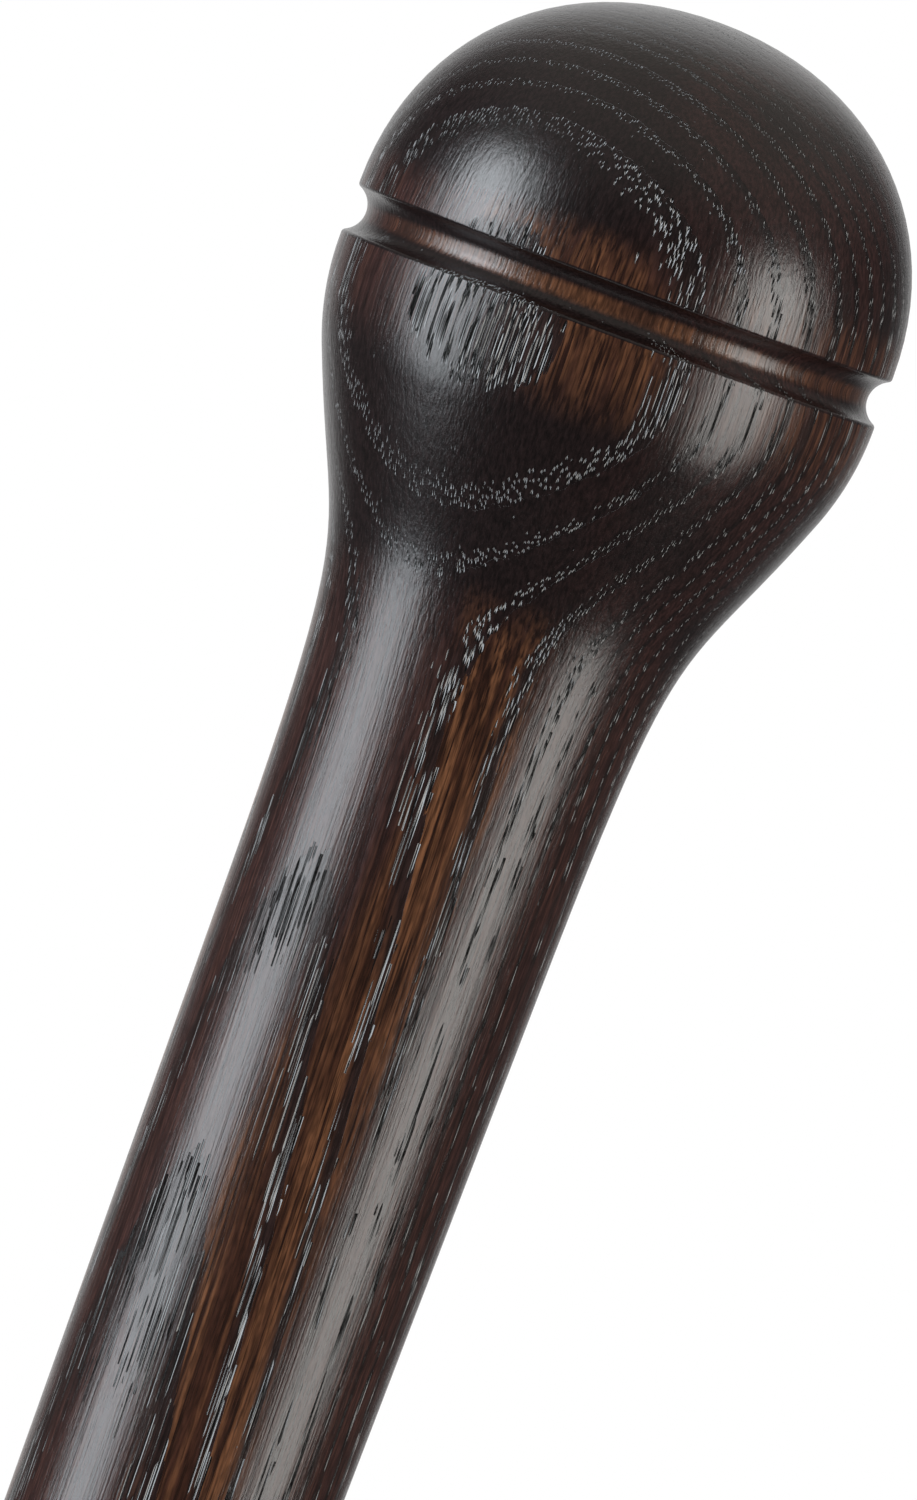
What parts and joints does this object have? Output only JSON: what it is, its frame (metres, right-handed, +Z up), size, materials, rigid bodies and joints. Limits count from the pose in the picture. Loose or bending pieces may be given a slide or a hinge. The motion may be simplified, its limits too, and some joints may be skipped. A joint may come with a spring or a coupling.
{
  "type": "wooden walking stick",
  "caption": "Turned knob-handled walking stick in dark stained ash with a tapered shaft and a push-on rubber ferrule.",
  "frame": {"origin": "centre of the ferrule's treaded sole, on the ground", "axes": "+Z up the stick's axis to the knob; -Y is the side that faces the camera in the picture, where the growth-ring oval shows; the stick is round, so X and Y only place the grain"},
  "size_m": [0.048, 0.0478, 0.92],
  "materials": {
    "stained_ash": "satin",
    "black_rubber": "matte",
    "plated_steel": "satin"
  },
  "bodies": {
    "stick": {"turned_stick": "stained_ash"},
    "ferrule": {"rubber_ferrule": "black_rubber", "steel_washer": "plated_steel"}
  },
  "joints": [
    {"name": "ferrule_pull_off", "type": "slide", "parent": "stick", "child": "ferrule", "axis": [0, 0, -1], "range_m": [0, 0.045]}
  ]
}
